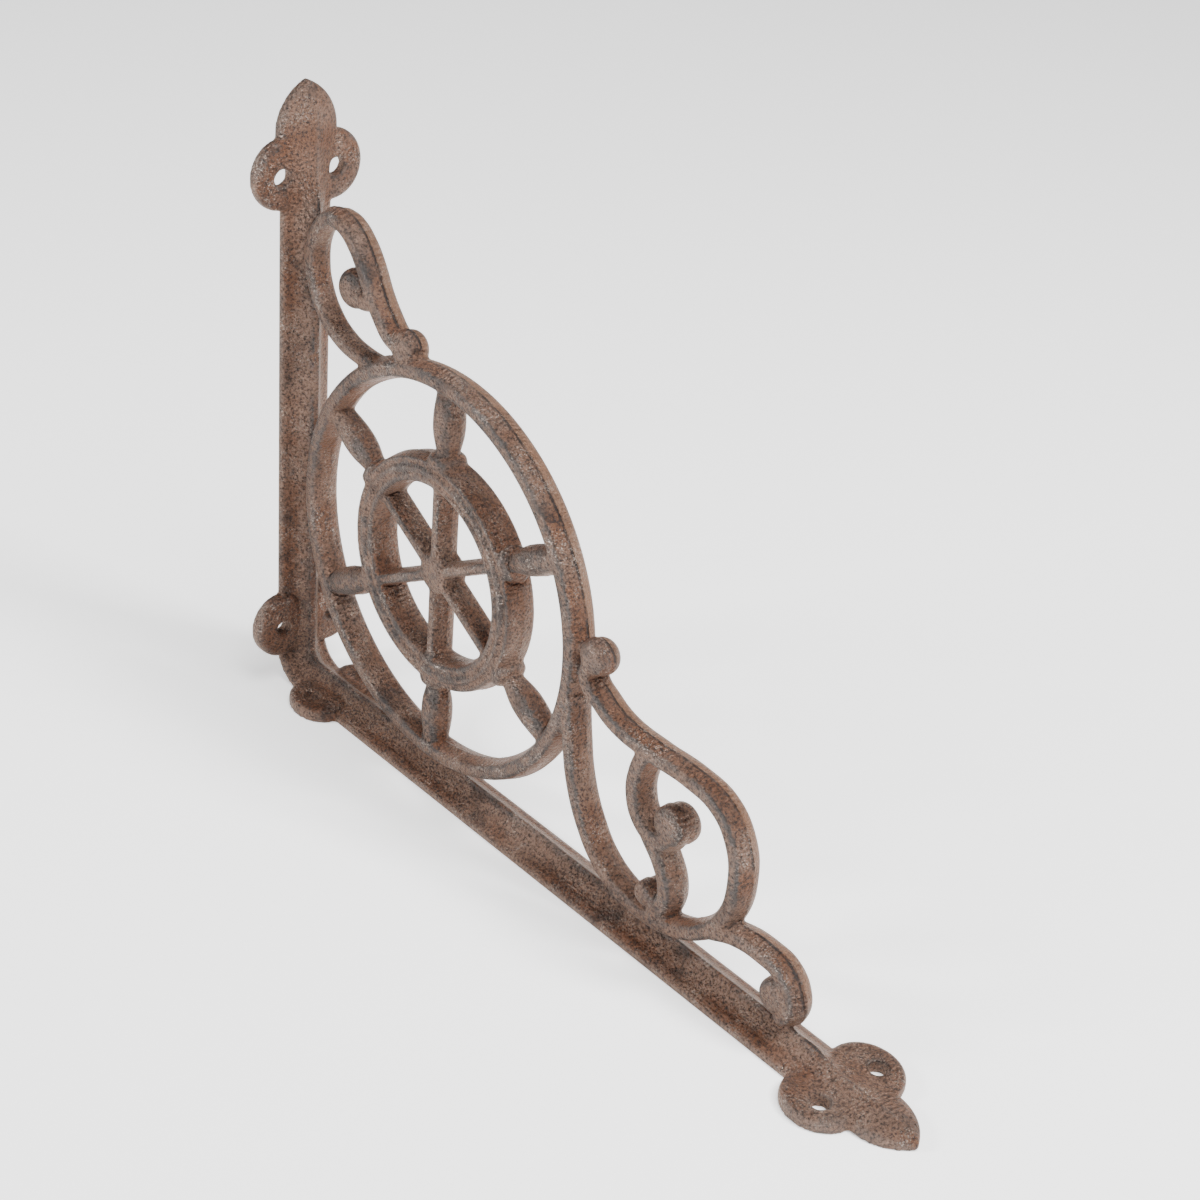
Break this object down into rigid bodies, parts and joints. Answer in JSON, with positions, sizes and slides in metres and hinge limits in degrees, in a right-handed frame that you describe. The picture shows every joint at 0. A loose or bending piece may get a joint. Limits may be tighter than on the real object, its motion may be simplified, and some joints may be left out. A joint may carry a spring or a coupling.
{
  "type": "ornate shelf bracket",
  "caption": "Cast iron right-angle shelf bracket with a ship's-wheel ring, scrolls and leaf-tipped arms, screwed to a wall and a shelf.",
  "frame": {"origin": "on the flat back of the shelf arm, midway between the wall arm's back and the shelf arm's tip, on the parting plane", "axes": "+X along the shelf arm towards its tip, +Z along the wall arm away from the shelf arm, Y across the arms"},
  "size_m": [0.253, 0.0346, 0.183],
  "materials": {
    "cast_iron": "rough sand-cast surface with a rubbed brown and dark grey antique finish"
  },
  "bodies": {
    "root": {"bracket": "cast_iron"}
  },
  "joints": []
}
